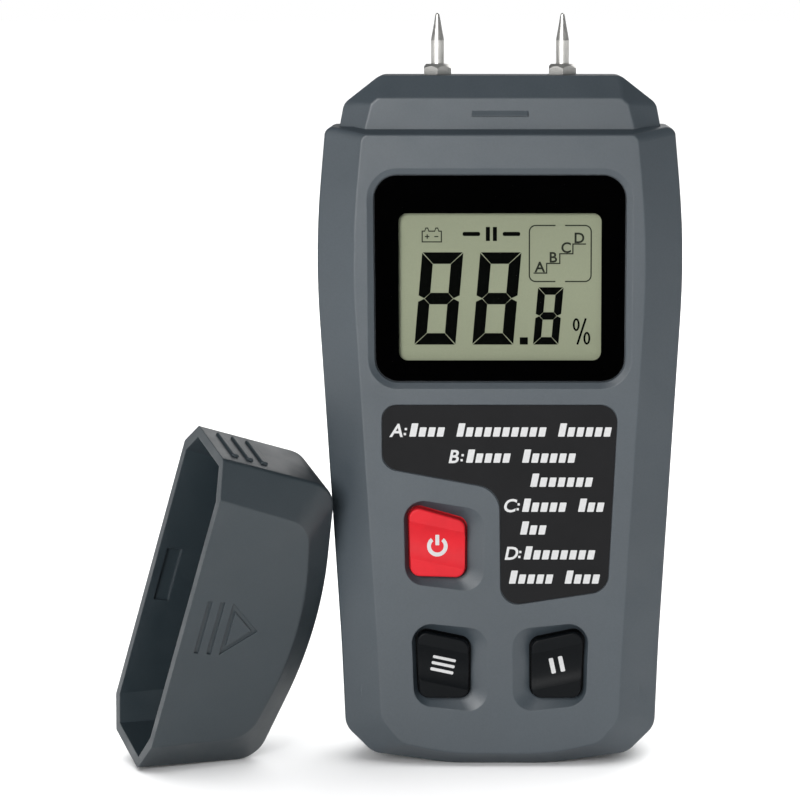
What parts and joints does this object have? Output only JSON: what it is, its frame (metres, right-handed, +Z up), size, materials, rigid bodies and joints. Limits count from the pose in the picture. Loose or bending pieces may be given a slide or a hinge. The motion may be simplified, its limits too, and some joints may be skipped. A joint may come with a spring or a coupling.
{
  "type": "moisture meter",
  "caption": "Handheld two-pin moisture meter for wood flooring, with display window, push keys, battery door and a loose cap that covers the pins.",
  "frame": {"origin": "middle of the small flat on the bottom end that the meter stands on", "axes": "+Z up the meter to the pins, -Y out of the key face, +Y out of the back, +X to the right as a user reads the display"},
  "size_m": [0.1036, 0.0438, 0.1354],
  "materials": {
    "case_grey": "fine moulded texture, satin",
    "cap_grey": "fine moulded texture, satin",
    "lens": "polished, clear over the display and black around it",
    "panel": "printed film, satin",
    "glass": "olive grey display glass",
    "holder": "moulded",
    "contact_rubber": "silicone",
    "reflector": "matt white",
    "key_red": "satin silicone rubber",
    "key_black": "satin silicone rubber",
    "switch_black": "moulded",
    "plunger": "moulded",
    "board": "solder mask",
    "chip": "moulded epoxy",
    "can": "drawn can",
    "trimmer_blue": "moulded",
    "chip_part": "ceramic",
    "steel": "nickel plated, bright",
    "brass": "turned",
    "tin": "tinned",
    "wire_black": "pvc insulation",
    "wire_red": "pvc insulation",
    "battery_jacket": "printed steel jacket",
    "clip_vinyl": "soft vinyl",
    "foam": "open foam"
  },
  "bodies": {
    "case": {"front_case": "case_grey", "rear_case": "case_grey", "window_lens": "lens", "label_panel": "panel", "lcd_glass": "glass", "lcd_frame": "holder", "lower_contact_strip": "contact_rubber", "upper_contact_strip": "contact_rubber", "lcd_reflector": "reflector", "power_switch": "switch_black", "mode_switch": "switch_black", "hold_switch": "switch_black", "main_board": "board", "controller_chip": "chip", "amplifier_chip": "chip", "capacitor": "can", "crystal": "can", "trimmer": "trimmer_blue", "chip_parts": "chip_part", "left_pin": "steel", "right_pin": "steel", "left_socket": "brass", "right_socket": "brass", "left_tag": "tin", "right_tag": "tin", "left_pin_wire": "wire_black", "right_pin_wire": "wire_black", "battery_red_lead": "wire_red", "battery_black_lead": "wire_black", "battery": "battery_jacket", "battery_minus_stud": "steel", "battery_plus_stud": "steel", "battery_clip": "clip_vinyl", "battery_pad": "foam", "case_screws": "steel", "board_screws": "steel"},
    "power_key": {"power_key": "key_red", "power_plunger": "plunger"},
    "mode_key": {"mode_key": "key_black", "mode_plunger": "plunger"},
    "hold_key": {"hold_key": "key_black", "hold_plunger": "plunger"},
    "battery_door": {"battery_door": "case_grey"},
    "pin_cap": {"pin_cap": "cap_grey"}
  },
  "joints": [
    {"name": "power_key_press", "type": "slide", "parent": "case", "child": "power_key", "axis": [0, 1, 0], "range_m": [0, 0.0006], "stiffness_N_per_m": 1200},
    {"name": "mode_key_press", "type": "slide", "parent": "case", "child": "mode_key", "axis": [0, 1, 0], "range_m": [0, 0.0006], "stiffness_N_per_m": 1200},
    {"name": "hold_key_press", "type": "slide", "parent": "case", "child": "hold_key", "axis": [0, 1, 0], "range_m": [0, 0.0006], "stiffness_N_per_m": 1200},
    {"name": "battery_door_hinge", "type": "hinge", "parent": "case", "child": "battery_door", "pos_m": [0, 0.0161, 0.0631], "axis": [1, 0, 0], "range_deg": [0, 80]},
    {"name": "pin_cap_pull", "type": "slide", "parent": "case", "child": "pin_cap", "axis": [-0.8775, -0.4471, 0.1737], "range_m": [0, 0.05]}
  ]
}
